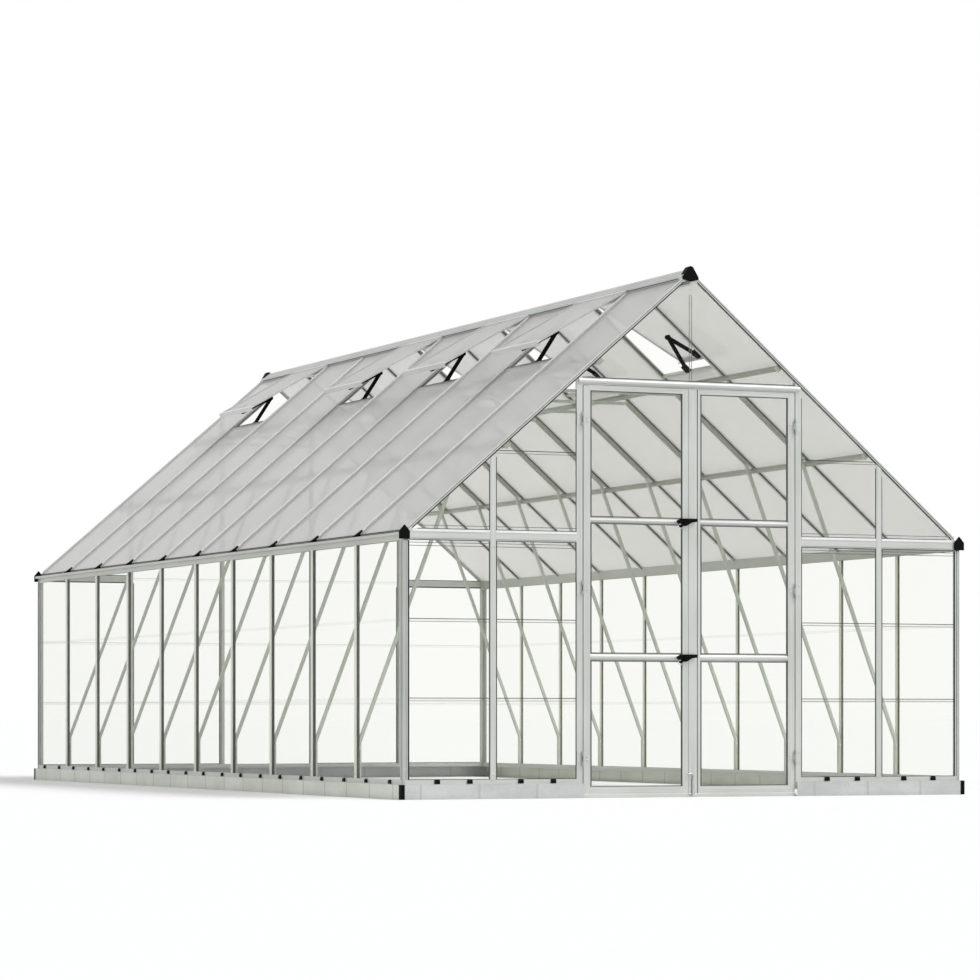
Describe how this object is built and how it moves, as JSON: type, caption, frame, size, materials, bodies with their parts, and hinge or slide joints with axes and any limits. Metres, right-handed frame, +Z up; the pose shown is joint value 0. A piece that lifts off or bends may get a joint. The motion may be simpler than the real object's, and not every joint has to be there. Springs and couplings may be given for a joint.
{
  "type": "greenhouse",
  "caption": "Long ridged greenhouse with a silver frame, clear walls, a pale translucent roof with open vents, inner trusses, double end doors and a low galvanised base.",
  "frame": {"origin": "centre of the footprint, on the ground", "axes": "+Z up, +Y along the ridge from the door end to the back end, +X to the right seen from the door end"},
  "size_m": [3.06, 6.065, 2.583],
  "materials": {
    "aluminium": "mill finish, satin",
    "tube_aluminium": "mill finish, matt",
    "galvanised_base": "galvanised sheet",
    "plated_steel": "zinc plated",
    "black_plastic": "moulded, satin",
    "roof_sheet": "twin-wall, translucent",
    "clear_sheet": "clear, glossy",
    "clear_strip": "clear, glossy"
  },
  "bodies": {
    "frame": {"back_gable_sheets": "clear_sheet", "base_back_rail": "galvanised_base", "base_corner_covers": "black_plastic", "base_front_rails": "galvanised_base", "base_side_rails": "galvanised_base", "brace_feet": "tube_aluminium", "collar_ties": "tube_aluminium", "corner_posts": "aluminium", "door_header": "aluminium", "door_jambs": "aluminium", "door_threshold": "aluminium", "eave_beams": "aluminium", "eave_corner_caps": "black_plastic", "edge_rafters": "aluminium", "front_gable_sheets": "clear_sheet", "gable_rails": "aluminium", "gable_sills": "aluminium", "gable_strips": "clear_strip", "gable_studs": "aluminium", "hinge_pins": "plated_steel", "knee_braces": "tube_aluminium", "left_roof_sheets": "roof_sheet", "purlins": "tube_aluminium", "rafter_foot_clips": "black_plastic", "rafters": "aluminium", "ridge_beam": "aluminium", "ridge_end_caps": "black_plastic", "right_roof_sheets": "roof_sheet", "side_sills": "aluminium", "truss_tubes": "tube_aluminium", "vent_lower_arms": "black_plastic", "vent_rails": "aluminium", "vent_sheets": "roof_sheet", "vent_sills": "aluminium", "vent_stay_brackets": "black_plastic", "vent_stiles": "aluminium", "vent_upper_arms": "black_plastic", "wall_posts": "aluminium", "wall_sheets": "clear_sheet", "wall_strips": "clear_strip"},
    "left_door": {"left_door_stiles": "aluminium", "left_door_rails": "aluminium", "left_door_panes": "clear_sheet", "left_hinge_barrels": "plated_steel", "latch_studs": "plated_steel", "drop_bolt": "plated_steel"},
    "right_door": {"right_door_stiles": "aluminium", "right_door_rails": "aluminium", "right_door_panes": "clear_sheet", "right_hinge_barrels": "plated_steel"},
    "upper_latch": {"upper_latch_lever": "black_plastic"},
    "lower_latch": {"lower_latch_lever": "black_plastic"}
  },
  "joints": [
    {"name": "left_door_hinge", "type": "hinge", "parent": "frame", "child": "left_door", "pos_m": [-0.576, -3.024, 1], "axis": [0, 0, -1], "range_deg": [0, 165]},
    {"name": "right_door_hinge", "type": "hinge", "parent": "frame", "child": "right_door", "pos_m": [0.576, -3.024, 1], "axis": [0, 0, 1], "range_deg": [0, 165]},
    {"name": "upper_latch_turn", "type": "hinge", "parent": "left_door", "child": "upper_latch", "pos_m": [-0.03, -3.024, 1.3379], "axis": [0, -1, 0], "range_deg": [0, 90]},
    {"name": "lower_latch_turn", "type": "hinge", "parent": "left_door", "child": "lower_latch", "pos_m": [-0.03, -3.024, 0.67787], "axis": [0, -1, 0], "range_deg": [0, 90]}
  ]
}
